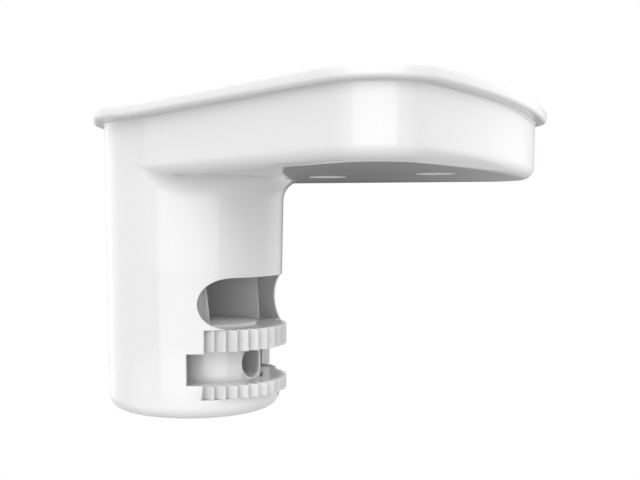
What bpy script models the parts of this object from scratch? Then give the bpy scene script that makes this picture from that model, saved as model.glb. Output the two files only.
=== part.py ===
"""Ceiling mount bracket for a room sensor: a one-piece moulding with a screw-on tray and a hanging post,
and a spindle in the post that carries two toothed thumbwheels. Metres, +Z up, the tray's rim at z = 0."""

import math

import bmesh
import bpy

MM = 0.001

# Tray, which is screwed to the ceiling. Its plan widens from the post to a bowed free end.
TRAY_LENGTH = 60.9 * MM  # post axis to the middle of the free end
TRAY_WIDTH = 69.9 * MM
TRAY_DEPTH = 12.35 * MM  # rim to underside
TRAY_CORNER_RADIUS = 8.95 * MM
TRAY_END_RADIUS = 150.0 * MM
TRAY_WALL = 1.6 * MM  # also the post's, above its web
TRAY_FLOOR = 2.0 * MM
TRAY_EDGE_FILLET = 2.45 * MM
LIP_OVERHANG = 2.05 * MM
LIP_HEIGHT = 1.9 * MM
LIP_FILLET = 0.9 * MM

# Post, a hollow column that narrows downwards with the moulding's draft.
POST_RADIUS = 17.42 * MM  # at the rim
POST_LENGTH = 55.3 * MM  # rim to bottom
POST_WALL = 1.2 * MM  # below its web
DRAFT = math.radians(1.18)
POST_NECK_FILLET = 4.8 * MM
POST_BOTTOM_FILLET = 2.2 * MM
WEB_THICKNESS = 2.0 * MM  # floor across the post, above the mechanism
WEB_TO_WINDOW = 1.27 * MM
CABLE_HOLE_LENGTH = 12.0 * MM
CABLE_HOLE_WIDTH = 7.0 * MM

# Screw holes, in bosses that stand on the tray's floor.
SCREW_HOLE_RADIUS = 3.05 * MM
SCREW_TO_POST = 11.38 * MM  # inner hole's axis to the post's side
SCREW_TO_END = 12.0 * MM  # outer hole's axis to the tray's free end
SCREW_HOLES_AT = (POST_RADIUS + SCREW_TO_POST, TRAY_LENGTH - SCREW_TO_END)
BOSS_WALL = 1.6 * MM
BOSS_HEADROOM = 0.5 * MM  # boss top to the ceiling

# Mechanism, on its own axis ahead of the post's.
AXIS_OFFSET = 4.6 * MM
CLEARANCE = 0.28 * MM
WHEEL_INSET = 3.72 * MM  # how much smaller a wheel's radius is than the post's
WHEEL_RADIUS = POST_RADIUS - WHEEL_INSET
WHEEL_TEETH = 40
TOOTH_DEPTH = 1.15 * MM
TOOTH_LAND_SHARE = 0.10  # of the pitch, at the tip
TOOTH_BACK_SHARE = 0.23  # of the pitch, the steep side
FIRST_TIP_ANGLE = math.radians(-56.4)
WHEEL_EDGE_CHAMFER = 0.15 * MM
UPPER_WHEEL_HEIGHT = 3.82 * MM
LOWER_WHEEL_HEIGHT = 2.28 * MM
WHEEL_SPACING = 6.02 * MM  # between the two wheels
BORE_CLEARANCE = 0.36 * MM
STEM_INSET = 4.98 * MM  # from the teeth's tips in to the stem
STEM_RADIUS = WHEEL_RADIUS - STEM_INSET
STEM_STEP = 0.62 * MM  # the stem is thinner by this much at the upper wheel
STEM_TOP_RADIUS = STEM_RADIUS - STEM_STEP
STEM_STANDS_PROUD = 0.42 * MM
CROSS_HOLE_RADIUS = 2.95 * MM
CAP_INSET = 3.67 * MM
CAP_RADIUS = POST_RADIUS - CAP_INSET
CAP_THICKNESS = 3.4 * MM  # the cap's top to the post's bottom
CAP_RECESS = 0.2 * MM

# Two cheeks that hang from the web and guide the cable past the stem. They run back into the post's wall.
CHEEK_PROUD = 1.0 * MM
CHEEK_RADIUS = STEM_RADIUS + CHEEK_PROUD  # of their round front edges
CHEEK_THICKNESS = 0.8 * MM  # at the web, where the channel is widest
CHANNEL_DRAFT = math.radians(2.9)

# Openings in the post's wall. Their faces point at the post's axis.
WINDOW_DEPTH = 7.42 * MM  # from the post's front, at the rim, back to the window's rounded end
WINDOW_HEIGHT = 9.23 * MM
SLOT_DEPTH = 9.15 * MM
OPENING_CUT = 3.3 * MM  # how far in from the skin the two openings are cut, past the wall

ROUND_SEGMENTS = 72
FILLET_STEPS = 6
PAST = 5.0 * MM  # how far a cutter runs past what it cuts

WHITE = (0.86, 0.86, 0.86)


def clear_scene():
    for obj in list(bpy.data.objects):
        bpy.data.objects.remove(obj)


def plastic(name, colour, roughness):
    material = bpy.data.materials.new(name)
    material.use_nodes = True
    shader = material.node_tree.nodes["Principled BSDF"]
    shader.inputs["Base Color"].default_value = (*colour, 1.0)
    shader.inputs["Roughness"].default_value = roughness
    shader.inputs["Metallic"].default_value = 0.0
    material.diffuse_color = (*colour, 1.0)
    return material


def arc_angles(steps):
    """Angles that turn a right angle in equal steps, from 0 to 90 degrees."""
    return [math.radians(90) * step / steps for step in range(steps + 1)]


def drafted(z):
    """How far a drafted outer wall stands in from its line at the rim, at height z below it."""
    return math.tan(DRAFT) * z


class TrayPlan:
    """The tray's plan: the post's circle, two straight sides that touch it, two corners and a bowed end."""

    def __init__(self):
        self.corner_y = TRAY_WIDTH / 2 - TRAY_CORNER_RADIUS
        self.bow_x = TRAY_LENGTH - TRAY_END_RADIUS
        reach = TRAY_END_RADIUS - TRAY_CORNER_RADIUS
        self.corner_x = self.bow_x + math.sqrt(reach**2 - self.corner_y**2)
        self.bow_angle = math.atan2(self.corner_y, self.corner_x - self.bow_x)
        away = math.hypot(self.corner_x, self.corner_y)
        towards = math.atan2(self.corner_y, self.corner_x)
        self.side_angle = towards + math.acos((POST_RADIUS - TRAY_CORNER_RADIUS) / away)
        self.side_length = math.sqrt(away**2 - (POST_RADIUS - TRAY_CORNER_RADIUS) ** 2)

    def columns(self):
        """Half the outline, end to back: (centre x, centre y, radius, normal angle, way along the side).

        Along the side the columns stand at equal turns about the post's axis, so that they also go evenly
        round the post below."""
        found = []
        for step in range(5):
            found.append((self.bow_x, 0.0, TRAY_END_RADIUS, self.bow_angle * step / 5, None))
        for step in range(13):
            angle = self.bow_angle + (self.side_angle - self.bow_angle) * step / 12
            found.append((self.corner_x, self.corner_y, TRAY_CORNER_RADIUS, angle, None))
        sweep = math.atan2(self.side_length, POST_RADIUS)
        for step in range(13, 0, -1):
            way = POST_RADIUS * math.tan(sweep * step / 14)
            found.append((0.0, 0.0, POST_RADIUS, self.side_angle, way))
        for step in range(15):
            angle = self.side_angle + (math.pi - self.side_angle) * step / 14
            found.append((0.0, 0.0, POST_RADIUS, angle, 0.0))
        return found

    def around(self):
        """The whole outline's columns, counter-clockwise from the middle of the free end."""
        half = self.columns()
        other = [(x, -y, radius, -angle, left) for x, y, radius, angle, left in half[-2:0:-1]]
        return half + other


def plan_point(column, offset):
    """The plan's point in a column, with the whole outline moved outwards by an offset."""
    x, y, radius, angle, along_side = column
    x += (radius + offset) * math.cos(angle)
    y += (radius + offset) * math.sin(angle)
    if along_side:
        side = math.copysign(1.0, angle)
        x += along_side * math.sin(abs(angle))
        y -= along_side * math.cos(abs(angle)) * side
    return x, y


def bridge_rings(mesh, rings):
    """Joins neighbouring rings of points with quads. Where two rings meet in a point, a triangle is left."""
    made = [[mesh.verts.new(point) for point in ring] for ring in rings]
    for upper, lower in zip(made, made[1:]):
        for index in range(len(upper)):
            after = (index + 1) % len(upper)
            mesh.faces.new((upper[index], lower[index], lower[after], upper[after]))
    return made


def mesh_object(name, mesh, material=None, smooth_angle=35):
    """Cleans a bmesh, turns its faces outwards and links it as an object."""
    bmesh.ops.remove_doubles(mesh, verts=mesh.verts, dist=1e-6)
    bmesh.ops.dissolve_degenerate(mesh, dist=1e-6, edges=mesh.edges)
    bmesh.ops.recalc_face_normals(mesh, faces=mesh.faces)
    data = bpy.data.meshes.new(name)
    mesh.to_mesh(data)
    mesh.free()
    data.shade_smooth()
    data.set_sharp_from_angle(angle=math.radians(smooth_angle))
    obj = bpy.data.objects.new(name, data)
    bpy.context.scene.collection.objects.link(obj)
    if material:
        data.materials.append(material)
    return obj


def lofted(name, rings, material=None):
    """A closed solid through a stack of rings, with its first and last ring filled."""
    mesh = bmesh.new()
    made = bridge_rings(mesh, rings)
    mesh.faces.new(made[0])
    mesh.faces.new(list(reversed(made[-1])))
    return mesh_object(name, mesh, material)


def circle(radius, z, centre_x=0.0, segments=ROUND_SEGMENTS):
    turn = [2 * math.pi * step / segments for step in range(segments)]
    return [(centre_x + radius * math.cos(a), radius * math.sin(a), z) for a in turn]


def turned(name, profile, centre_x=0.0, material=None, segments=ROUND_SEGMENTS):
    """A solid of revolution through (radius, z) points, about a vertical axis at centre_x."""
    return lofted(name, [circle(radius, z, centre_x, segments) for radius, z in profile], material)


def as_cutter(obj):
    obj.hide_render = True
    obj.display_type = "WIRE"
    return obj


def combine(obj, other, operation):
    """Adds a Boolean with the exact solver and keeps the other object as a hidden helper."""
    as_cutter(other)
    modifier = obj.modifiers.new(other.name, "BOOLEAN")
    modifier.operation = operation
    modifier.solver = "EXACT"
    modifier.object = other


def cut(obj, cutter):
    combine(obj, cutter, "DIFFERENCE")


def join(obj, piece):
    combine(obj, piece, "UNION")


def tray_into_post(plan, wall, floor, edge_fillet, neck_fillet):
    """Rings from the tray's wall, round its lower edge, across its floor and round the neck into the post.

    The surface lies a wall's thickness inside the outer one. Where the tray's outline runs into the post's
    circle there is no floor, so both fillets fade to nothing with the width left between the two."""
    columns = plan.around()
    level = drafted(floor) - wall
    floor_edge = [plan_point(column, level) for column in columns]
    reaches = [math.hypot(x, y) for x, y in floor_edge]
    fade = [
        min(1.0, max(0.0, reach - POST_RADIUS - level) / (edge_fillet + neck_fillet)) for reach in reaches
    ]
    rings = []
    for turn in arc_angles(FILLET_STEPS):
        ring = []
        for column, share in zip(columns, fade):
            radius = edge_fillet * share
            start = floor + radius
            offset = drafted(start) - wall - radius * (1 - math.cos(turn))
            ring.append((*plan_point(column, offset), start - radius * math.sin(turn)))
        rings.append(ring)
    for turn in arc_angles(FILLET_STEPS):
        ring = []
        for (x, y), reach, share in zip(floor_edge, reaches, fade):
            fillet = neck_fillet * share
            z = floor - fillet * (1 - math.cos(turn))
            radius = POST_RADIUS + drafted(z) - wall + fillet * (1 - math.sin(turn))
            ring.append((radius * x / reach, radius * y / reach, z))
        rings.append(ring)
    return rings


def post_ring(ring, radius, z):
    """A ring of the post at height z, with each point straight below or above the given ring's."""
    turns = [math.atan2(y, x) for x, y, _ in ring]
    return [(radius * math.cos(turn), radius * math.sin(turn), z) for turn in turns]


def outer_skin(plan):
    """Rings down the outside: lip, drafted wall, edge fillet, floor, neck fillet, post, bottom fillet."""
    columns = plan.around()

    def outline(offset, z):
        return [(*plan_point(column, offset), z) for column in columns]

    rings = [outline(LIP_OVERHANG, 0.0)]
    for turn in arc_angles(3):
        inset = LIP_FILLET * (1 - math.cos(turn))
        z = -LIP_HEIGHT + LIP_FILLET * (1 - math.sin(turn))
        rings.append(outline(LIP_OVERHANG - inset, z))
    rings.append(outline(drafted(-LIP_HEIGHT), -LIP_HEIGHT))
    rings += tray_into_post(plan, 0.0, -TRAY_DEPTH, TRAY_EDGE_FILLET, POST_NECK_FILLET)
    for turn in arc_angles(FILLET_STEPS):
        z = -POST_LENGTH + POST_BOTTOM_FILLET * (1 - math.sin(turn))
        radius = POST_RADIUS + drafted(-POST_LENGTH) - POST_BOTTOM_FILLET * (1 - math.cos(turn))
        rings.append(post_ring(rings[-1], radius, z))
    return rings


def shell_hollow(plan):
    """The open inside of the tray and of the post down to its web, one wall inside the outer skin."""
    rings = [[(*plan_point(column, -TRAY_WALL), PAST) for column in plan.around()]]
    edge_fillet = max(TRAY_EDGE_FILLET - TRAY_WALL, TRAY_WALL / 4)
    neck_fillet = POST_NECK_FILLET + TRAY_WALL
    rings += tray_into_post(plan, TRAY_WALL, TRAY_FLOOR - TRAY_DEPTH, edge_fillet, neck_fillet)
    rings.append(post_ring(rings[-1], POST_RADIUS - TRAY_WALL + drafted(-web_top()), -web_top()))
    return lofted("shell_hollow", rings)


def cap_top():
    return POST_LENGTH - CAP_THICKNESS


def lower_wheel_top():
    return cap_top() - CLEARANCE - LOWER_WHEEL_HEIGHT


def upper_wheel_top():
    return lower_wheel_top() - WHEEL_SPACING - UPPER_WHEEL_HEIGHT


def window_top():
    return upper_wheel_top() - WINDOW_HEIGHT


def web_bottom():
    return window_top() - WEB_TO_WINDOW


def web_top():
    return web_bottom() - WEB_THICKNESS


def mechanism_chamber():
    """The round space below the web, which opens at the bottom through the seat of the cap."""
    top = -web_bottom()
    seat = -cap_top() - CLEARANCE / 2
    return turned(
        "mechanism_chamber",
        [
            (POST_RADIUS - POST_WALL + drafted(top), top),
            (POST_RADIUS - POST_WALL + drafted(seat), seat),
            (CAP_RADIUS + CLEARANCE, seat),
            (CAP_RADIUS + CLEARANCE, -POST_LENGTH - PAST),
        ],
    )


def wheel_pocket(name, top, height):
    """The round recess in which a wheel turns. It breaks out through the front of the post's wall."""
    radius = WHEEL_RADIUS + CLEARANCE
    z = -top + CLEARANCE
    return turned(name, [(radius, z), (radius, -top - height - CLEARANCE)], AXIS_OFFSET)


def opening_ring(depth, z):
    """A cutter's outline at one height. On the post's skin it reaches as far back as the given depth."""
    inner = POST_RADIUS - OPENING_CUT
    outer = POST_RADIUS + PAST
    half_turn = math.acos((POST_RADIUS - depth) / (POST_RADIUS + drafted(z)))
    steps = 16
    turns = [half_turn * (2 * step / steps - 1) for step in range(steps + 1)]
    ring = [(inner * math.cos(turn), inner * math.sin(turn), z) for turn in turns]
    return ring + [(outer * math.cos(turn), outer * math.sin(turn), z) for turn in reversed(turns)]


def window_cutter():
    """A wide window round the front of the post, with a rounded end at each side."""
    radius = WINDOW_HEIGHT / 2
    middle = -window_top() - radius
    steps = 24
    rings = []
    for step in range(steps + 1):
        turn = math.radians(90) - math.pi * step / steps
        depth = WINDOW_DEPTH - radius * (1 - math.cos(turn))
        rings.append(opening_ring(depth, middle + radius * math.sin(turn)))
    return lofted("window_cutter", rings)


def slot_cutter():
    """The square slot between the two wheels. It runs half a clearance into each wheel's pocket."""
    top = -(upper_wheel_top() + UPPER_WHEEL_HEIGHT + CLEARANCE / 2)
    bottom = -(lower_wheel_top() - CLEARANCE / 2)
    return lofted("slot_cutter", [opening_ring(SLOT_DEPTH, z) for z in (top, bottom)])


def cheek(side):
    """One cheek: a wall with a round front edge, whose back end stands in the middle of the post's wall."""
    top = -web_bottom()
    bottom = -upper_wheel_top() + CLEARANCE * 1.5
    root = top + WEB_THICKNESS / 2
    rings = []
    for z in (root, bottom):
        flat = CHEEK_RADIUS - CHEEK_THICKNESS + math.tan(CHANNEL_DRAFT) * (z - top)
        wall_middle = POST_RADIUS - POST_WALL / 2 + drafted(z)
        half_turn = math.acos(flat / CHEEK_RADIUS)
        steps = 10
        ring = [(-math.sqrt(wall_middle**2 - CHEEK_RADIUS**2), side * CHEEK_RADIUS, z)]
        for step in range(steps + 1):
            turn = half_turn * step / steps
            x = AXIS_OFFSET + CHEEK_RADIUS * math.sin(turn)
            ring.append((x, side * CHEEK_RADIUS * math.cos(turn), z))
        ring.append((-math.sqrt(wall_middle**2 - flat**2), side * flat, z))
        rings.append(ring)
    return lofted("cheek_left" if side > 0 else "cheek_right", rings)


def cable_hole():
    """The long hole through the web for a cable, above the channel."""
    radius = CABLE_HOLE_WIDTH / 2
    reach = CABLE_HOLE_LENGTH / 2 - radius
    steps = 12
    outline = []
    for end in (1, -1):
        for step in range(steps + 1):
            turn = math.radians(-90) + math.pi * step / steps
            x = AXIS_OFFSET + end * (reach + radius * math.cos(turn))
            outline.append((x, end * radius * math.sin(turn)))
    levels = (-web_top() + PAST, -web_bottom() - PAST / 2)
    return lofted("cable_hole", [[(x, y, z) for x, y in outline] for z in levels])


def make_bracket_body(material):
    plan = TrayPlan()
    body = lofted("bracket_body", outer_skin(plan), material)
    cut(body, shell_hollow(plan))
    cut(body, mechanism_chamber())
    for side in (1, -1):
        join(body, cheek(side))
    cut(body, cable_hole())
    for number, x in enumerate(SCREW_HOLES_AT, 1):
        boss = [
            (SCREW_HOLE_RADIUS + BOSS_WALL, -BOSS_HEADROOM),
            (SCREW_HOLE_RADIUS + BOSS_WALL, TRAY_FLOOR / 2 - TRAY_DEPTH),
        ]
        join(body, turned(f"screw_boss_{number}", boss, x, segments=32))
    for number, x in enumerate(SCREW_HOLES_AT, 1):
        hole = [(SCREW_HOLE_RADIUS, PAST), (SCREW_HOLE_RADIUS, -TRAY_DEPTH - PAST)]
        cut(body, turned(f"screw_hole_{number}", hole, x, segments=32))
    cut(body, wheel_pocket("upper_wheel_pocket", upper_wheel_top(), UPPER_WHEEL_HEIGHT))
    cut(body, wheel_pocket("lower_wheel_pocket", lower_wheel_top(), LOWER_WHEEL_HEIGHT))
    cut(body, window_cutter())
    cut(body, slot_cutter())
    return body


def make_spindle(material):
    """The stem that the wheels turn on, with the round cap that closes the bottom of the post."""
    bottom = -POST_LENGTH + CAP_RECESS
    shoulder = -(upper_wheel_top() + UPPER_WHEEL_HEIGHT + CLEARANCE)
    top = -upper_wheel_top() + STEM_STANDS_PROUD
    cap = turned("spindle", [(CAP_RADIUS, -cap_top()), (CAP_RADIUS, bottom)], material=material)
    stem = [
        (STEM_TOP_RADIUS, top),
        (STEM_TOP_RADIUS, shoulder),
        (STEM_RADIUS, shoulder),
        (STEM_RADIUS, -cap_top() - CLEARANCE),
    ]
    join(cap, turned("spindle_stem", stem, AXIS_OFFSET))
    middle = -(upper_wheel_top() + UPPER_WHEEL_HEIGHT + WHEEL_SPACING / 2)
    steps = 32
    turns = [2 * math.pi * step / steps for step in range(steps)]
    outline = [
        (CROSS_HOLE_RADIUS * math.cos(turn), middle + CROSS_HOLE_RADIUS * math.sin(turn))
        for turn in turns
    ]
    ends = (AXIS_OFFSET - STEM_RADIUS - PAST, AXIS_OFFSET + STEM_RADIUS + PAST)
    cut(cap, lofted("cross_hole", [[(x, y, z) for y, z in outline] for x in ends]))
    return cap


def tooth_outline(inset):
    """The wheel's saw-toothed outline: a long rising side, a narrow tip and a steep back."""
    pitch = 2 * math.pi / WHEEL_TEETH
    tip = WHEEL_RADIUS - inset
    root = WHEEL_RADIUS - TOOTH_DEPTH - inset
    points = []
    for tooth in range(WHEEL_TEETH):
        tip_end = FIRST_TIP_ANGLE + tooth * pitch
        points.append((root, tip_end - pitch * (1 - TOOTH_BACK_SHARE)))
        points.append((tip, tip_end - pitch * TOOTH_LAND_SHARE))
        points.append((tip, tip_end))
    return points


def make_thumbwheel(name, top, height, bore, material):
    """A toothed ring. Its origin is on the axis that it turns about, at its top face."""
    chamfer = WHEEL_EDGE_CHAMFER
    mesh = bmesh.new()
    rings = []
    for inset, z in ((chamfer, 0.0), (0.0, -chamfer), (0.0, chamfer - height), (chamfer, -height)):
        outline = tooth_outline(inset)
        rings.append([(radius * math.cos(turn), radius * math.sin(turn), z) for radius, turn in outline])
    outline = tooth_outline(0.0)
    for z in (-height, 0.0):
        rings.append([(bore * math.cos(turn), bore * math.sin(turn), z) for _, turn in outline])
    bridge_rings(mesh, rings + rings[:1])
    wheel = mesh_object(name, mesh, material, smooth_angle=20)
    wheel.location = (AXIS_OFFSET, 0.0, -top)
    return wheel


def build():
    clear_scene()
    make_bracket_body(plastic("bracket_white", WHITE, 0.32))
    make_spindle(plastic("spindle_white", WHITE, 0.3))
    wheel_white = plastic("wheel_white", WHITE, 0.28)
    make_thumbwheel(
        "upper_thumbwheel",
        upper_wheel_top(),
        UPPER_WHEEL_HEIGHT,
        STEM_TOP_RADIUS + BORE_CLEARANCE,
        wheel_white,
    )
    make_thumbwheel(
        "lower_thumbwheel",
        lower_wheel_top(),
        LOWER_WHEEL_HEIGHT,
        STEM_RADIUS + BORE_CLEARANCE,
        wheel_white,
    )


build()
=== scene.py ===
import math

import bmesh
import bpy
import numpy as np
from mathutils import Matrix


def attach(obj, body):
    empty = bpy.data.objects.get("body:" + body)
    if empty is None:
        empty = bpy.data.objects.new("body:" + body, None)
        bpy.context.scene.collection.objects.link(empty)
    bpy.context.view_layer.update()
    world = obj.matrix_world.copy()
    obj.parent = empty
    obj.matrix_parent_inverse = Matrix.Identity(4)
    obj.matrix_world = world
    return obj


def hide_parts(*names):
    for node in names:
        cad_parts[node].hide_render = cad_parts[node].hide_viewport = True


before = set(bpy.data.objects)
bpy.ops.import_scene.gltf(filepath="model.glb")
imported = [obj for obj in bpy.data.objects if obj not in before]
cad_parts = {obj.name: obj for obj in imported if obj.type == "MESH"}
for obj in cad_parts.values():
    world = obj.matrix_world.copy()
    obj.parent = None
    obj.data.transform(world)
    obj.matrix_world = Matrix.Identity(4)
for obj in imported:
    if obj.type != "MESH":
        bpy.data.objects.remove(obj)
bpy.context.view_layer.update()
print("frame loaded")

mm = 0.001

# where the photograph was taken from, in mm about the post's axis at the ceiling
photoView = dict(
    width=640,
    height=480,
    focalPixels=874.9,
    lensAxisX=275.95,  # the picture point that the lens looks straight at
    lensAxisY=223.01,
    turn=30.59,  # degrees round from the bracket's side
    distance=169.94,
    sideStep=15.64,
    below=20.5,  # camera under the ceiling
    sensorWidth=36,
)


def placeCamera(view):
    turn = math.radians(view["turn"])
    right = np.array([math.cos(turn), math.sin(turn), 0])
    ahead = np.array([-math.sin(turn), math.cos(turn), 0])
    spot = right * view["sideStep"] - ahead * view["distance"]
    spot[2] = -view["below"]
    data = bpy.data.cameras.new("photoCamera")
    data.sensor_width = view["sensorWidth"]
    data.lens = view["focalPixels"] * view["sensorWidth"] / view["width"]
    data.shift_x = (view["width"] / 2 - view["lensAxisX"]) / view["width"]
    data.shift_y = (view["lensAxisY"] - view["height"] / 2) / view["width"]
    data.clip_start = 0.005
    data.clip_end = 20
    camera = bpy.data.objects.new("photoCamera", data)
    camera.location = spot * mm
    camera.rotation_euler = (math.radians(90), 0, turn)
    bpy.context.scene.collection.objects.link(camera)
    bpy.context.scene.camera = camera


placeCamera(photoView)
print("camera placed")


# grid of points (rows, columns, 3): every row is a closed loop, joined to the next by quads
def loopSurface(name, grid, ends="capped"):
    rows, columns = grid.shape[:2]
    steps = np.arange(rows if ends == "joined" else rows - 1)[:, None]
    place = np.arange(columns)[None, :]
    after = (place + 1) % columns
    below = (steps + 1) % rows
    quads = np.stack(
        [
            steps * columns + place,
            below * columns + place,
            below * columns + after,
            steps * columns + after,
        ],
        axis=-1,
    ).reshape(-1, 4)
    faces = quads.tolist()
    if ends == "capped":
        faces.append(np.arange(columns).tolist())
        faces.append((np.arange(columns)[::-1] + (rows - 1) * columns).tolist())
    mesh = bpy.data.meshes.new(name)
    mesh.from_pydata((grid.reshape(-1, 3) * mm).tolist(), [], faces)
    piece = bpy.data.objects.new(name, mesh)
    bpy.context.scene.collection.objects.link(piece)
    tidyNormals(piece)
    return piece


def tidyNormals(piece):
    work = bmesh.new()
    work.from_mesh(piece.data)
    bmesh.ops.remove_doubles(work, verts=work.verts, dist=2e-7)
    bmesh.ops.dissolve_degenerate(work, dist=1e-7, edges=work.edges)
    bmesh.ops.recalc_face_normals(work, faces=work.faces)
    work.to_mesh(piece.data)
    work.free()


# turns a (radius, z) profile about an upright axis: x = centre + r cos(t), y = r sin(t)
def turnedRows(profile, centreX=0.0, columns=256):
    profile = np.asarray(profile, float)
    turn = np.linspace(0, 2 * np.pi, columns, endpoint=False)
    radius = profile[:, 0][:, None]
    level = np.broadcast_to(profile[:, 1][:, None], (len(profile), columns))
    return np.stack([centreX + radius * np.cos(turn), radius * np.sin(turn), level], axis=-1)


# quarter round from (0, 0) to (1, 1), as (sine, one less cosine) pairs for a fillet
def quarter(steps):
    turn = np.linspace(0, np.pi / 2, steps + 1)
    return np.sin(turn), 1 - np.cos(turn)


tray = dict(
    length=60.9,
    width=69.9,
    depth=12.35,
    cornerRadius=8.95,
    endRadius=150.0,
    wall=1.6,
    floor=2.0,
    edgeFillet=2.45,
    lipOverhang=2.05,
    lipHeight=1.9,
    lipRound=0.7,
    rimRound=0.22,
    draft=math.tan(math.radians(1.18)),
    sideInset=1.25,  # the side walls stand back under the lip, most at the post and none at the corners
    lipFlare=1.5,  # the lip is wider beside the post than behind it
    flareEnd=132,  # degrees from the front, where the lip is plain again
    flareFade=19,
    crease=0.8,
    underLipRound=0.25,  # where the wall meets the lip
    bossFoot=0.8,  # round where a boss meets the floor
)
post = dict(
    radius=17.42,
    length=55.3,
    wall=1.2,
    openingWall=0.3,  # in front, from the web down to the slot
    slotWall=1.8,  # in front, from the slot down to the cap
    frontEnd=80,  # degrees from the front, where the front wall starts to change into the one behind
    frontFade=45,
    openingCut=3.3,  # how far in from the skin the openings are cut
    straightTop=18.5,  # the post is a plain tapered round from here down
    neckFillet=3.7,
    bottomFillet=2.2,
    webTop=27.0,
    webThickness=2.0,
    cableHoleLength=12.0,
    cableHoleWidth=7.0,
)
screws = dict(radius=3.05, places=(28.8, 48.9), bossWall=1.6, headroom=0.5, edge=0.25)
mechanism = dict(
    axis=4.6,
    clearance=0.28,
    wheelSideGap=0.06,  # over and under each wheel
    wheelRimGap=0.12,
    wheelRadius=13.7,
    upperTop=39.5,
    upperHeight=3.82,
    spacing=6.02,
    lowerHeight=2.36,
    boreGap=0.36,
    stemRadius=8.72,
    stemTopRadius=8.1,
    stemProud=0.42,
    crossHole=2.9,
    crossHoleRound=0.4,
    capRadius=13.75,
    capRecess=0.2,
    capHoleEdge=0.2,
    capTopEdge=0.15,
    capFootEdge=0.25,
    stemTopEdge=0.3,
    stemTopBulge=0.09,
    shoulderEdge=0.12,
    cheekRadius=9.72,
    cheekFoot=39.3,
    channelHalf=8.92,
    channelDraft=math.tan(math.radians(2.9)),
    windowBack=10.0,
    windowTop=30.27,
    slotBack=8.27,
    slotTop=43.58,
    slotBottom=49.16,
    wheelOpening=49.1,  # degrees to each side of the front
)
lowerTop = mechanism["upperTop"] + mechanism["upperHeight"] + mechanism["spacing"]
capTop = lowerTop + mechanism["lowerHeight"] + mechanism["clearance"]
past = 5.0  # how far a cutter runs past what it cuts, in mm
overlap = 0.1  # how far two cutters run into each other, in mm


# the tray's plan: two sides that touch the post's circle, two corner arcs and a shallow bow.
# Each column is an arc centre, a radius and the outline's normal angle, and how far it has gone along a side
def planColumns(bow=20, corner=44, side=52, back=56):
    cornerY = tray["width"] / 2 - tray["cornerRadius"]
    bowX = tray["length"] - tray["endRadius"]
    cornerX = bowX + math.sqrt((tray["endRadius"] - tray["cornerRadius"]) ** 2 - cornerY**2)
    bowEnd = math.atan2(cornerY, cornerX - bowX)
    away = math.hypot(cornerX, cornerY)
    step = post["radius"] - tray["cornerRadius"]
    sideAngle = math.atan2(cornerY, cornerX) + math.acos(step / away)
    sideLength = math.sqrt(away**2 - step**2)
    sweep = math.atan2(sideLength, post["radius"])
    parts = []

    def part(x, y, radius, angle, way):
        angle = np.atleast_1d(angle)
        way = np.broadcast_to(way, angle.shape)
        parts.append(np.stack([np.full_like(angle, v) for v in (x, y, radius)] + [angle, way], axis=1))

    part(bowX, 0, tray["endRadius"], np.linspace(0, bowEnd, bow, endpoint=False), 0)
    part(cornerX, cornerY, tray["cornerRadius"], np.linspace(bowEnd, sideAngle, corner), 0)
    ways = post["radius"] * np.tan(np.linspace(sweep, 0, side + 1)[1:-1])
    part(0, 0, post["radius"], np.full(side - 1, sideAngle), ways)
    part(0, 0, post["radius"], np.linspace(sideAngle, np.pi, back), 0)
    half = np.concatenate(parts)
    other = half[-2:0:-1] * np.array([1, -1, 1, -1, 1])
    return np.concatenate([half, other])


# point of the plan, moved out by an offset: centre + (radius + offset) (cos a, sin a) + way along the side.
# No point stands nearer to the axis than the post's circle, and a soft crease joins the two:
# larger + crease (1 - difference / crease)^2 / 4
def planPoints(columns, offset, lip=False):
    x, y, radius, angle, way = columns.T
    along = way > 0
    out = radius + offset
    if not lip:
        out = out - np.where(along, tray["sideInset"] * (1 - way / way.max()), 0)
    px = x + out * np.cos(angle) + way * np.sin(np.abs(angle))
    py = y + out * np.sin(angle) - way * np.cos(angle) * np.sign(angle)
    reach = np.hypot(px, py)
    least = post["radius"] + offset
    if lip:
        fromFront = np.degrees(np.abs(np.arctan2(py, px)))
        share = np.clip((tray["flareEnd"] - fromFront) / tray["flareFade"], 0, 1)
        least = least + tray["lipFlare"] * share * share * (3 - 2 * share)
    near = np.where(along, np.clip(1 - np.abs(reach - least) / tray["crease"], 0, 1), 0)
    grown = np.maximum(reach, least) + near**2 * tray["crease"] / 4
    return px * grown / reach, py * grown / reach


def planRow(columns, offset, z, lip=False):
    px, py = planPoints(columns, offset, lip)
    return np.stack([px, py, np.broadcast_to(z, px.shape)], axis=-1)


# from the tray's wall round its lower edge, across the floor and round the neck into the post. Where the tray
# stands less than both radii outside the post's circle, the two arcs stop short and join in an S:
# cos(most) = 1 - gap / (edge + neck)
def neckRows(columns, wall, floor, edgeFillet, neckFillet, steps=14):
    level = tray["draft"] * (floor + edgeFillet) - wall
    ex, ey = planPoints(columns, level)
    reach = np.hypot(ex, ey)
    gap = np.clip(reach - post["radius"] - level, 0, edgeFillet + neckFillet)
    gap[gap < 0.001] = 0
    most = np.arccos(1 - gap / (edgeFillet + neckFillet))
    top = floor + edgeFillet
    bottom = top - (edgeFillet + neckFillet) * np.sin(most)
    rows = []
    for share in np.linspace(0, 1, steps + 1):
        turn = most * share
        offset = level - edgeFillet * (1 - np.cos(turn))
        rows.append(planRow(columns, offset, top - edgeFillet * np.sin(turn)))
    for share in np.linspace(1, 0, steps + 1):
        turn = most * share
        z = bottom + neckFillet * np.sin(turn)
        radius = post["radius"] + tray["draft"] * z - wall + neckFillet * (1 - np.cos(turn))
        rows.append(np.stack([radius * ex / reach, radius * ey / reach, z], axis=-1))
    return rows


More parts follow.
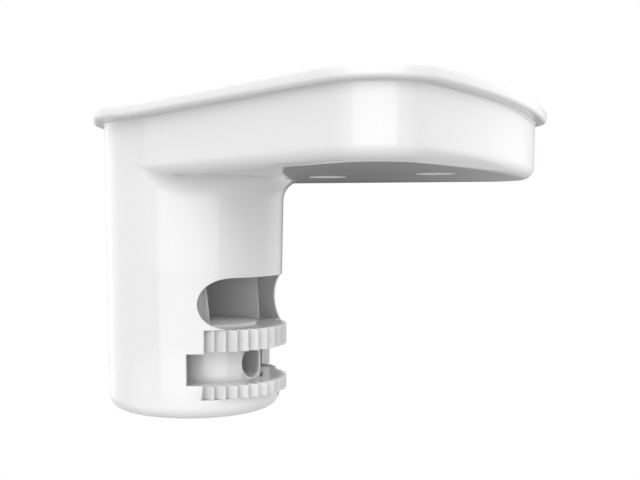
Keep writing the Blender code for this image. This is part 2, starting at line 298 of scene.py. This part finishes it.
def postRow(row, radius, z):
    turn = np.arctan2(row[:, 1], row[:, 0])
    return np.stack([radius * np.cos(turn), radius * np.sin(turn), np.full_like(turn, z)], axis=-1)


def outerSkin(columns):
    rim, lip = tray["rimRound"], tray["lipRound"]
    over, deep = tray["lipOverhang"], tray["lipHeight"]
    sine, rise = quarter(4)
    rows = [planRow(columns, over - rim + rim * s, -rim * r, True) for s, r in zip(sine, rise)]
    sine, rise = quarter(8)
    rows += [planRow(columns, over - lip * r, lip - deep - lip * s, True) for s, r in zip(sine, rise)]
    inner = tray["underLipRound"]
    rows += [
        planRow(columns, tray["draft"] * -deep + inner * (1 - s), -deep - inner * r)
        for s, r in zip(sine, rise)
    ]
    rows += neckRows(columns, 0, -tray["depth"], tray["edgeFillet"], post["neckFillet"])
    fillet = post["bottomFillet"]
    foot = post["radius"] - tray["draft"] * post["length"]
    for z in np.linspace(-post["straightTop"], fillet - post["length"], 7)[:-1]:
        rows.append(postRow(rows[-1], post["radius"] + tray["draft"] * z, z))
    sine, rise = quarter(12)
    for s, r in zip(sine, rise):
        rows.append(postRow(rows[-1], foot - fillet * r, fillet * (1 - s) - post["length"]))
    return loopSurface("bracketShell", np.stack(rows))


def shellHollow(columns):
    wall, rim = tray["wall"], tray["rimRound"]
    sine, rise = quarter(4)
    rows = [planRow(columns, rim - wall, past)]
    rows += [planRow(columns, -wall + rim * (1 - s), -rim * r) for s, r in zip(sine, rise)]
    edge = max(tray["edgeFillet"] - wall, wall / 4)
    neck = post["neckFillet"] + wall
    rows += neckRows(columns, wall, tray["floor"] - tray["depth"], edge, neck, 10)
    bottom = -post["webTop"]
    radius = post["radius"] - wall + tray["draft"] * bottom
    soft = 0.6
    sine, rise = quarter(5)
    for s, r in zip(sine, rise):
        rows.append(postRow(rows[-1], radius - soft * r, bottom + soft * (1 - s)))
    return loopSurface("shellHollow", np.stack(rows))


# round room under the web. Its wall is thick behind and has another thickness in front, beside the openings:
# radius = skin - front - (behind - front) * smooth step of the angle from the front
def chamber():
    top = -post["webTop"] - post["webThickness"]
    seat = 0.02 - lowerTop - mechanism["lowerHeight"] - mechanism["wheelSideGap"]
    hole, edge = mechanism["capRadius"] + mechanism["clearance"], mechanism["capHoleEdge"]
    profile = [(hole, seat - 0.01), (hole, -post["length"] + edge), (hole + edge, -post["length"])]
    profile.append((hole + edge, -post["length"] - past))
    below = turnedRows(profile)
    turn = np.linspace(0, 2 * np.pi, below.shape[1], endpoint=False)
    fromFront = np.degrees(np.abs((turn + np.pi) % (2 * np.pi) - np.pi))
    share = np.clip((fromFront - post["frontEnd"]) / post["frontFade"], 0, 1)
    share = share * share * (3 - 2 * share)
    change = -mechanism["slotTop"] + 0.3
    rows = []
    for z in (top, -33, -37, change, change - 0.05, -46, seat):
        front = post["openingWall"] if z >= change else post["slotWall"]
        radius = post["radius"] + tray["draft"] * z - front - (post["wall"] - front) * share
        rows.append(np.stack([radius * np.cos(turn), radius * np.sin(turn), np.full_like(turn, z)], axis=1))
    return loopSurface("chamber", np.concatenate([np.stack(rows), below]))


# an outline in one plane, carried straight along the axis that it leaves out (0 for x, 1 for y, 2 for z)
def straightRows(outline, ends, axis):
    outline = np.asarray(outline, float)
    rows = [np.insert(outline, axis, end, axis=1) for end in ends]
    return np.stack(rows)


# a cutter's outline at one height: an arch round the front of the wall, over the given angle to each side.
# Its two ends point at the post's axis
def archRow(half, z, columns=49):
    turn = np.linspace(-half, half, columns)
    inner, outer = post["radius"] - post["openingCut"], post["radius"] + past
    x = np.concatenate([inner * np.cos(turn), outer * np.cos(turn[::-1])])
    y = np.concatenate([inner * np.sin(turn), outer * np.sin(turn[::-1])])
    return np.stack([x, y, np.full_like(x, z)], axis=1)


# the angle at which the skin stands a given distance ahead of the post's axis
def skinAngle(ahead, z):
    return math.acos(ahead / (post["radius"] + tray["draft"] * z))


def windowCutter():
    bottom, top = mechanism["upperTop"], mechanism["windowTop"]
    radius = (bottom - top) / 2
    rows = []
    for turn in np.linspace(np.pi / 2, -np.pi / 2, 61):
        back = mechanism["windowBack"] + radius * (1 - math.cos(turn))
        z = -(bottom + top) / 2 + radius * math.sin(turn)
        rows.append(archRow(skinAngle(back, z), z))
    return loopSurface("windowCutter", np.stack(rows))


def slotCutter():
    levels = (-mechanism["slotTop"], -mechanism["slotBottom"])
    rows = [archRow(skinAngle(mechanism["slotBack"], z), z) for z in levels]
    return loopSurface("slotCutter", np.stack(rows))


def wheelOpening(name, top, bottom):
    half = math.radians(mechanism["wheelOpening"])
    return loopSurface(name, np.stack([archRow(half, -top), archRow(half, -bottom)]))


def pocket(name, top, bottom):
    radius = mechanism["wheelRadius"] + mechanism["wheelRimGap"]
    return loopSurface(name, turnedRows([(radius, -top), (radius, -bottom)], mechanism["axis"]))


# a wall beside the cable channel. It has a round front edge, leans in towards the bottom, and its back end
# stands in the middle of the post's wall
def cheek(name, side):
    web = -post["webTop"] - post["webThickness"]
    radius = mechanism["cheekRadius"]
    rows = []
    for z in (web + post["webThickness"] / 2, -mechanism["cheekFoot"]):
        flat = mechanism["channelHalf"] + mechanism["channelDraft"] * (z - web)
        middle = post["radius"] - post["wall"] / 2 + tray["draft"] * z
        turn = np.linspace(0, math.acos(flat / radius), 25)
        x = mechanism["axis"] + radius * np.sin(turn)
        y = radius * np.cos(turn)
        x = np.concatenate([[-math.sqrt(middle**2 - radius**2)], x, [-math.sqrt(middle**2 - flat**2)]])
        y = np.concatenate([[radius], y, [flat]]) * side
        rows.append(np.stack([x, y, np.full_like(x, z)], axis=1))
    return loopSurface(name, np.stack(rows))


def cableHole():
    radius = post["cableHoleWidth"] / 2
    reach = post["cableHoleLength"] / 2 - radius
    turn = np.linspace(-np.pi / 2, np.pi / 2, 25)
    x = mechanism["axis"] + reach + radius * np.cos(turn)
    y = radius * np.sin(turn)
    outline = np.concatenate(
        [np.stack([x, y], axis=1), np.stack([2 * mechanism["axis"] - x, -y], axis=1)]
    )
    levels = (past - post["webTop"], -post["webTop"] - post["webThickness"] - past / 2)
    return loopSurface("cableHole", straightRows(outline, levels, 2))


def boss(number, x):
    radius = screws["radius"] + screws["bossWall"]
    floor = tray["floor"] - tray["depth"]
    foot = tray["bossFoot"]
    sine, rise = quarter(6)
    top, edge = -screws["headroom"], screws["edge"]
    profile = [(radius - edge, top), (radius, top - edge)]
    profile += [(radius + foot * r, floor + foot * (1 - s)) for s, r in zip(sine, rise)]
    profile.append((radius + foot, floor - tray["floor"] / 2))
    return loopSurface(f"boss{number}", turnedRows(profile, x, 96))


def screwHole(number, x):
    radius, under, soft = screws["radius"], -tray["depth"], screws["edge"]
    profile = [
        (radius + soft, past),
        (radius + soft, -screws["headroom"]),
        (radius, -screws["headroom"] - soft),
        (radius, under + soft),
        (radius + soft, under),
        (radius + soft, under - past),
    ]
    return loopSurface(f"screwHole{number}", turnedRows(profile, x, 96))


def combine(piece, other, operation):
    change = piece.modifiers.new(other.name, "BOOLEAN")
    change.operation = operation
    change.solver = "EXACT"
    change.object = other
    return other


# keeps the finished shape as the piece's own mesh, and drops its helpers
def settle(piece, helpers, sharpAngle=32):
    bpy.context.view_layer.update()
    graph = bpy.context.evaluated_depsgraph_get()
    mesh = bpy.data.meshes.new_from_object(piece.evaluated_get(graph))
    piece.modifiers.clear()
    piece.data = mesh
    mesh.name = piece.name
    for helper in helpers:
        bpy.data.objects.remove(helper)
    mesh.shade_smooth()
    mesh.set_sharp_from_angle(angle=math.radians(sharpAngle))


def makeShell():
    columns = planColumns()
    shell = outerSkin(columns)
    helpers = [
        combine(shell, shellHollow(columns), "DIFFERENCE"),
        combine(shell, chamber(), "DIFFERENCE"),
        combine(shell, cheek("cheekLeft", 1), "UNION"),
        combine(shell, cheek("cheekRight", -1), "UNION"),
        combine(shell, cableHole(), "DIFFERENCE"),
    ]
    for number, x in enumerate(screws["places"]):
        helpers.append(combine(shell, boss(number, x), "UNION"))
    for number, x in enumerate(screws["places"]):
        helpers.append(combine(shell, screwHole(number, x), "DIFFERENCE"))
    gap = mechanism["wheelSideGap"]
    upperRoom = (mechanism["upperTop"] - gap, mechanism["slotTop"] + overlap)
    lowerRoom = (mechanism["slotBottom"] - overlap, lowerTop + mechanism["lowerHeight"] + gap)
    cutters = [pocket("upperPocket", *upperRoom), pocket("lowerPocket", *lowerRoom)]
    cutters += [wheelOpening("upperOpening", upperRoom[0], upperRoom[1] + overlap)]
    cutters += [wheelOpening("lowerOpening", lowerRoom[0] - overlap, lowerRoom[1])]
    for cutter in [*cutters, windowCutter(), slotCutter()]:
        helpers.append(combine(shell, cutter, "DIFFERENCE"))
    settle(shell, helpers)
    return shell


def makeStem():
    gap = mechanism["clearance"]
    shoulder = -(mechanism["upperTop"] + mechanism["upperHeight"] + gap)
    top = mechanism["stemProud"] - mechanism["upperTop"]
    bottom = mechanism["capRecess"] - post["length"]
    cap, stem = mechanism["capRadius"], mechanism["stemRadius"]
    above, under = mechanism["capTopEdge"], mechanism["capFootEdge"]
    capProfile = [
        (cap - above, -capTop),
        (cap, -capTop - above),
        (cap, bottom + under),
        (cap - under, bottom),
    ]
    piece = loopSurface("spindleStem", turnedRows(capProfile))
    thin, step = mechanism["stemTopRadius"], mechanism["shoulderEdge"]
    edge, bulge = mechanism["stemTopEdge"], mechanism["stemTopBulge"]
    stemProfile = [
        (thin - edge, top),
        (thin - bulge, top - bulge),
        (thin, top - edge),
        (thin, shoulder),
        (stem - step, shoulder),
        (stem, shoulder - step),
        (stem, -capTop - gap),
    ]
    column = loopSurface("stemColumn", turnedRows(stemProfile, mechanism["axis"]))
    middle = -(mechanism["upperTop"] + mechanism["upperHeight"] + mechanism["spacing"] / 2)
    hole = crossHole(middle)
    helpers = [combine(piece, column, "UNION"), combine(piece, hole, "DIFFERENCE")]
    settle(piece, helpers)
    return piece


# the hole through the stem. Towards the stem's skin it flares in a quarter round, which follows the skin:
# radius = hole + round * (1 - sqrt(1 - s^2)) where s goes from 0 at the round's depth to 1 at the skin
def crossHole(middle, columns=128):
    turn = np.linspace(0, 2 * np.pi, columns, endpoint=False)
    stem, radius, soft = mechanism["stemRadius"], mechanism["crossHole"], mechanism["crossHoleRound"]
    rows = []
    for side in (-1, 1):
        half = []
        for s in np.linspace(0, 1, 9):
            flare = radius + soft * (1 - math.sqrt(1 - s * s))
            y, z = flare * np.cos(turn), flare * np.sin(turn)
            skin = np.sqrt(stem**2 - y**2)
            half.append(np.stack([mechanism["axis"] + side * (skin - soft * (1 - s)), y, middle + z], axis=1))
        far = half[-1].copy()
        far[:, 0] = mechanism["axis"] + side * (stem + past)
        half.append(far)
        rows += half[::-1] if side < 0 else half
    return loopSurface("crossHole", np.stack(rows))


wheels = dict(
    teeth=40,
    toothDepth=1.35,
    riseShare=0.74,  # of the pitch: the long side
    landShare=0.08,  # the narrow tip
    firstTip=-56.4,  # degrees, where the first tooth's tip ends
    cornerEase=0.012,  # of the pitch
    edgeRound=0.06,
    boreRound=0.2,
    hubBand=1.2,  # flat ring round the bore
    sharpAngle=40,
)


# height of the saw tooth, 0 at the root and 1 at the tip, over one pitch, with its corners eased
def toothShape():
    rise, land = wheels["riseShare"], wheels["landShare"]
    corners = np.array([0, rise, rise + land, 1.0])
    ease = wheels["cornerEase"]
    perPitch = 2000
    eased = [corners[:-1] + s * ease for s in (-1, -0.35, 0.35, 1)]
    slope = np.linspace(0, rise, 8)[1:-1]
    at = np.sort(np.concatenate([*eased, slope]) % 1.0)
    fine = np.linspace(-1, 2, 3 * perPitch + 1)
    wave = np.interp(fine % 1.0, corners, [0, 1, 1, 0])
    kernel = np.hanning(int(ease * 2 * perPitch) + 3)
    wave = np.convolve(wave, kernel / kernel.sum(), mode="same")
    return at, np.interp(at, fine, wave)


# a ring whose outside is toothed: radius = root + depth * tooth(angle), less a round at each edge
def makeWheel(name, top, height, bore):
    at, tooth = toothShape()
    count = wheels["teeth"]
    pitch = 2 * np.pi / count
    start = math.radians(wheels["firstTip"]) - pitch * (wheels["riseShare"] + wheels["landShare"])
    turn = (start + pitch * (np.arange(count)[:, None] + at[None, :])).reshape(-1)
    outer = mechanism["wheelRadius"] - wheels["toothDepth"] * (1 - np.tile(tooth, count))
    edge, soft = wheels["edgeRound"], wheels["boreRound"]
    hub = bore + wheels["hubBand"]
    sine, rise = quarter(4)
    rows = []

    def row(radius, z):
        x = mechanism["axis"] + radius * np.cos(turn)
        rows.append(np.stack([x, radius * np.sin(turn), np.full_like(turn, z)], axis=-1))

    for s, r in zip(sine, rise):
        row(outer - edge + edge * s, -top - edge * r)
    for s, r in zip(sine, rise):
        row(outer - edge * r, -top - height + edge * (1 - s))
    for share in (0.3, 1.0):
        row((outer - edge) * (1 - share) + hub * share, -top - height)
    for s, r in zip(sine, rise):
        row(bore + soft * (1 - s), -top - height + soft * r)
    for s, r in zip(sine, rise):
        row(bore + soft * r, -top - soft * (1 - s))
    for share in (1.0, 0.3):
        row((outer - edge) * (1 - share) + hub * share, -top)
    wheel = loopSurface(name, np.stack(rows), "joined")
    wheel.data.shade_smooth()
    wheel.data.set_sharp_from_angle(angle=math.radians(wheels["sharpAngle"]))
    return wheel


shell = makeShell()
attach(shell, "bracket")
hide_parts("bracket_body")
print("shell made", len(shell.data.polygons))

stem = makeStem()
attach(stem, "bracket")
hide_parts("spindle")
print("stem made", len(stem.data.polygons))

upperWheel = makeWheel(
    "upperWheel",
    mechanism["upperTop"],
    mechanism["upperHeight"],
    mechanism["stemTopRadius"] + mechanism["boreGap"],
)
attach(upperWheel, "upper_wheel")
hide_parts("upper_thumbwheel")
lowerWheel = makeWheel(
    "lowerWheel",
    lowerTop,
    mechanism["lowerHeight"],
    mechanism["stemRadius"] + mechanism["boreGap"],
)
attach(lowerWheel, "lower_wheel")
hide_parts("lower_thumbwheel")
print("wheels made", len(upperWheel.data.polygons))


def mapped(nodes, links, value, start, end, low, high):
    node = nodes.new("ShaderNodeMapRange")
    node.inputs["From Min"].default_value = start
    node.inputs["From Max"].default_value = end
    node.inputs["To Min"].default_value = low
    node.inputs["To Max"].default_value = high
    links.new(value, node.inputs["Value"])
    return node.outputs["Result"]


def joined(nodes, links, operation, first, second):
    node = nodes.new("ShaderNodeMath")
    node.operation = operation
    links.new(first, node.inputs[0])
    links.new(second, node.inputs[1])
    return node.outputs[0]


# where the painted shade within the post fades out, in mm
paintedShadeFade = dict(skinFrom=4.7, skinTo=3.4, sideFrom=0.05, sideTo=0.3, level=0.8)


# painted shade mask: 1 within the cable channel and the cross hole, where shade falls, 0 on the outside,
# above the web and on the cap's underside
def paintedShadeMask(nodes, links, place, half, top, bottom):
    parts = nodes.new("ShaderNodeSeparateXYZ")
    links.new(place, parts.inputs[0])
    flat = nodes.new("ShaderNodeCombineXYZ")
    links.new(parts.outputs["X"], flat.inputs["X"])
    links.new(parts.outputs["Y"], flat.inputs["Y"])
    away = nodes.new("ShaderNodeVectorMath")
    away.operation = "LENGTH"
    links.new(flat.outputs[0], away.inputs[0])
    start = (post["radius"] - paintedShadeFade["skinFrom"]) * mm
    end = (post["radius"] - paintedShadeFade["skinTo"]) * mm
    inner = mapped(nodes, links, away.outputs["Value"], start, end, 1, 0)
    aside = nodes.new("ShaderNodeMath")
    aside.operation = "ABSOLUTE"
    links.new(parts.outputs["Y"], aside.inputs[0])
    start, end = (half + paintedShadeFade["sideFrom"]) * mm, (half + paintedShadeFade["sideTo"]) * mm
    between = mapped(nodes, links, aside.outputs[0], start, end, 1, 0)
    fade = paintedShadeFade["level"]
    under = mapped(nodes, links, parts.outputs["Z"], -(top + fade) * mm, -top * mm, 1, 0)
    over = mapped(nodes, links, parts.outputs["Z"], -bottom * mm, (fade - bottom) * mm, 0, 1)
    level = joined(nodes, links, "MULTIPLY", under, over)
    return joined(nodes, links, "MULTIPLY", joined(nodes, links, "MULTIPLY", inner, between), level)


# what the three plastics have in common
mould = dict(
    ior=1.46,
    lightReach=0.0012,  # metres that light travels inside the plastic
    cloudScale=45,
    cloudDetail=3,
    glossSpread=0.02,
    grainScale=2600,
    grainDetail=2,
    grainStrength=0.25,
    grainHeight=0.00002,  # metres
)


# glossy white moulding: faint uneven tone and gloss, the fine grain of the mould and eased edges.
# Inside the look's zone it has painted shade: a darker tone for the shaded hollows, chosen to match the
# photograph
def mouldedPlastic(name, look):
    material = bpy.data.materials.new(name)
    material.use_nodes = True
    nodes, links = material.node_tree.nodes, material.node_tree.links
    shader = nodes["Principled BSDF"]
    shader.inputs["IOR"].default_value = mould["ior"]
    shader.inputs["Metallic"].default_value = 0
    shader.inputs["Subsurface Weight"].default_value = look["translucent"]
    shader.inputs["Subsurface Radius"].default_value = (1, 1, 1)
    shader.inputs["Subsurface Scale"].default_value = mould["lightReach"]
    place = nodes.new("ShaderNodeTexCoord")
    cloud = nodes.new("ShaderNodeTexNoise")
    cloud.inputs["Scale"].default_value = mould["cloudScale"]
    cloud.inputs["Detail"].default_value = mould["cloudDetail"]
    links.new(place.outputs["Object"], cloud.inputs["Vector"])
    tone = nodes.new("ShaderNodeMix")
    tone.data_type = "RGBA"
    tone.inputs["A"].default_value = (*look["shade"], 1)
    tone.inputs["B"].default_value = (*look["colour"], 1)
    links.new(cloud.outputs["Fac"], tone.inputs["Factor"])
    # painted shade: the tone is multiplied by a darker colour inside the post's hollows, where shade falls
    paintedShadeMix = nodes.new("ShaderNodeMix")
    paintedShadeMix.data_type = "RGBA"
    paintedShadeMix.blend_type = "MULTIPLY"
    paintedShadeMix.inputs["B"].default_value = (*look["paintedShadeColour"], 1)
    links.new(tone.outputs["Result"], paintedShadeMix.inputs["A"])
    zone = paintedShadeMask(nodes, links, place.outputs["Object"], *look["zone"])
    links.new(zone, paintedShadeMix.inputs["Factor"])
    links.new(paintedShadeMix.outputs["Result"], shader.inputs["Base Color"])
    rough, spread = look["roughness"], mould["glossSpread"]
    gloss = mapped(nodes, links, cloud.outputs["Fac"], 0, 1, rough - spread, rough + spread)
    links.new(gloss, shader.inputs["Roughness"])
    grain = nodes.new("ShaderNodeTexNoise")
    grain.inputs["Scale"].default_value = mould["grainScale"]
    grain.inputs["Detail"].default_value = mould["grainDetail"]
    links.new(place.outputs["Object"], grain.inputs["Vector"])
    bump = nodes.new("ShaderNodeBump")
    bump.inputs["Strength"].default_value = mould["grainStrength"]
    bump.inputs["Distance"].default_value = mould["grainHeight"]
    links.new(grain.outputs["Fac"], bump.inputs["Height"])
    eased = nodes.new("ShaderNodeBevel")
    eased.samples = 6
    eased.inputs["Radius"].default_value = look["edge"]
    links.new(eased.outputs["Normal"], bump.inputs["Normal"])
    links.new(bump.outputs["Normal"], shader.inputs["Normal"])
    return material


whitePlastic = dict(
    colour=(0.80, 0.80, 0.80),
    shade=(0.785, 0.785, 0.787),
    # painted shade colour for the cable channel, where shade falls
    paintedShadeColour=(0.68, 0.68, 0.69),
    zone=(mechanism["channelHalf"], post["webTop"] + 0.8, capTop),  # half width, top and bottom
    roughness=0.1,
    translucent=0.18,  # share of the light that goes into the plastic and comes out near by
    edge=0.00016,
)
shell.data.materials.clear()
shell.data.materials.append(mouldedPlastic("whiteShell", whitePlastic))
stemLook = dict(
    # painted shade: the stem's white is darker than the shell's, for the shade it stands in inside the post
    colour=(0.73, 0.73, 0.73),
    shade=(0.715, 0.715, 0.717),
    # painted shade colour for the cross hole, where shade falls
    paintedShadeColour=(0.62, 0.62, 0.63),
    zone=(mechanism["crossHole"], lowerTop - mechanism["spacing"], lowerTop),
    roughness=0.12,
    translucent=0.35,
    edge=0.00016,
)
stem.data.materials.clear()
stem.data.materials.append(mouldedPlastic("whiteStem", stemLook))
wheelLook = dict(
    colour=(0.70, 0.70, 0.70),
    shade=(0.685, 0.685, 0.687),
    paintedShadeColour=(1, 1, 1),  # no painted shade here, so the zone does nothing
    zone=(1, 0, 1),
    roughness=0.08,
    translucent=0.35,
    edge=0.00006,
)
wheelPlastic = mouldedPlastic("whiteWheel", wheelLook)
for wheel in (upperWheel, lowerWheel):
    wheel.data.materials.append(wheelPlastic)
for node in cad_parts.values():
    for place in node.material_slots:
        place.material = wheelPlastic
print("materials set")


# floor well under the bracket. Camera, gloss and transmission see it as white, and the bracket is lit by it
# only as by a floor of this grey paint
def paleStage(level, size, paint):
    mesh = bpy.data.meshes.new("paleFloor")
    corners = np.array([[-1, -1], [1, -1], [1, 1], [-1, 1]]) * size
    points = np.insert(corners, 2, level, axis=1)
    mesh.from_pydata(points.tolist(), [], [[0, 1, 2, 3]])
    floor = bpy.data.objects.new("paleFloor", mesh)
    bpy.context.scene.collection.objects.link(floor)
    material = bpy.data.materials.new("paleFloor")
    material.use_nodes = True
    nodes, links = material.node_tree.nodes, material.node_tree.links
    shader = nodes["Principled BSDF"]
    shader.inputs["Base Color"].default_value = (paint, paint, paint, 1)
    shader.inputs["Roughness"].default_value = 0.9
    glow = nodes.new("ShaderNodeEmission")
    glow.inputs["Strength"].default_value = 1
    path = nodes.new("ShaderNodeLightPath")
    camera, gloss = path.outputs["Is Camera Ray"], path.outputs["Is Glossy Ray"]
    seen = joined(nodes, links, "MAXIMUM", camera, gloss)
    seen = joined(nodes, links, "MAXIMUM", seen, path.outputs["Is Transmission Ray"])
    mix = nodes.new("ShaderNodeMixShader")
    links.new(seen, mix.inputs["Fac"])
    links.new(shader.outputs["BSDF"], mix.inputs[1])
    links.new(glow.outputs["Emission"], mix.inputs[2])
    links.new(mix.outputs["Shader"], nodes["Material Output"].inputs["Surface"])
    mesh.materials.append(material)


# unit vector of an azimuth and a height in degrees, both as seen from the bracket
def skyWay(turn, height):
    turn, height = math.radians(turn), math.radians(height)
    return (math.sin(turn) * math.cos(height), -math.cos(turn) * math.cos(height), math.sin(height))


# brightness of the surroundings = even light + sum of strength * max(0, direction . centre) ^ narrowness
def glowSum(nodes, links, label, even, glows):
    place = nodes.new("ShaderNodeTexCoord")
    total = nodes.new("ShaderNodeValue")
    total.name = f"{label} even"
    total.outputs[0].default_value = even
    total = total.outputs[0]
    for number, (turn, height, narrow, strength) in enumerate(glows):
        facing = nodes.new("ShaderNodeVectorMath")
        facing.operation = "DOT_PRODUCT"
        facing.inputs[1].default_value = skyWay(turn, height)
        links.new(place.outputs["Generated"], facing.inputs[0])
        front = nodes.new("ShaderNodeMath")
        front.operation = "MAXIMUM"
        front.inputs[1].default_value = 0
        links.new(facing.outputs["Value"], front.inputs[0])
        lobe = nodes.new("ShaderNodeMath")
        lobe.operation = "POWER"
        lobe.inputs[1].default_value = narrow
        links.new(front.outputs[0], lobe.inputs[0])
        added = nodes.new("ShaderNodeMath")
        added.name = f"{label} {number}"
        added.operation = "MULTIPLY_ADD"
        added.inputs[1].default_value = strength
        links.new(lobe.outputs[0], added.inputs[0])
        links.new(total, added.inputs[2])
        total = added.outputs[0]
    return total


# white all round for the camera. The bracket gets soft light from all round, brighter from some sides. Its
# gloss shows surroundings of its own, which aren't those that light it: both are fitted to the photograph
def whiteSurround(look):
    world = bpy.data.worlds.new("whiteSurround")
    bpy.context.scene.world = world
    world.use_nodes = True
    nodes, links = world.node_tree.nodes, world.node_tree.links

    def background(strength):
        node = nodes.new("ShaderNodeBackground")
        node.inputs["Color"].default_value = (1, 1, 1, 1)
        if isinstance(strength, (int, float)):
            node.inputs["Strength"].default_value = strength
        else:
            links.new(strength, node.inputs["Strength"])
        return node.outputs["Background"]

    path = nodes.new("ShaderNodeLightPath")
    soft = background(glowSum(nodes, links, "soft", look["softEven"], look["soft"]))
    shine = background(glowSum(nodes, links, "shine", look["shineEven"], look["shine"]))
    plain = nodes.new("ShaderNodeMixShader")
    links.new(path.outputs["Is Glossy Ray"], plain.inputs["Fac"])
    links.new(soft, plain.inputs[1])
    links.new(shine, plain.inputs[2])
    camera, through = path.outputs["Is Camera Ray"], path.outputs["Is Transmission Ray"]
    seen = joined(nodes, links, "MAXIMUM", camera, through)
    mix = nodes.new("ShaderNodeMixShader")
    links.new(seen, mix.inputs["Fac"])
    links.new(plain.outputs["Shader"], mix.inputs[1])
    links.new(background(1), mix.inputs[2])
    links.new(mix.outputs["Shader"], nodes["World Output"].inputs["Surface"])


# a soft lamp that looks at the middle of the bracket from an azimuth and a height, in degrees
def softLamp(name, middle, turn, height, distance, size, power):
    data = bpy.data.lights.new(name, "AREA")
    data.shape = "RECTANGLE"
    data.size, data.size_y = size
    data.energy = power
    lamp = bpy.data.objects.new(name, data)
    lamp.location = np.array(middle) * mm + np.array(skyWay(turn, height)) * distance
    lamp.rotation_euler = (math.pi / 2 - math.radians(height), 0, math.radians(turn))
    bpy.context.scene.collection.objects.link(lamp)


# each glow is azimuth, height, narrowness, strength. What the gloss shows is white with these glows on top:
# brighter than white where they are positive, and dimmer where they are negative
studio = dict(
    softEven=0.427,
    soft=[
        (0, 90, 1, 0.336),
        (0, 90, 5, 0.556),
        (180, 10, 3, 0.139),
        (135, 10, 3, 0.383),
        (-60, 50, 4, 0.575),
        (-150, 50, 4, 0.039),
        (150, 50, 4, 0.246),
        (25, -20, 4, 0.109),
    ],
    shineEven=1.0,
    shine=[
        (0, 90, 1, -0.422),
        (-20, 5, 3, -0.566),
        (-60, 5, 4, -0.75),
        (-95, 5, 4, 1.295),
        (-125, 5, 6, 0.241),
        (-155, 5, 6, -1.284),
        (178, 5, 6, 0.636),
        (150, 5, 6, 0.71),
        (120, 5, 5, 0.263),
        (90, 5, 4, -1.17),
        (60, 5, 4, 0.166),
        (-150, -25, 5, -0.316),
    ],
    middle=(20, 0, -22),
    softbox=dict(turn=25.5, height=12, distance=1.0, size=(1.62, 1.2), power=9.49),
    floor=dict(level=-0.45, size=1.6, paint=0.3),
)
whiteSurround(studio)
paleStage(**studio["floor"])
softLamp("frontSoftbox", studio["middle"], **studio["softbox"])
bpy.context.scene.view_settings.view_transform = "Standard"
print("stage lit")
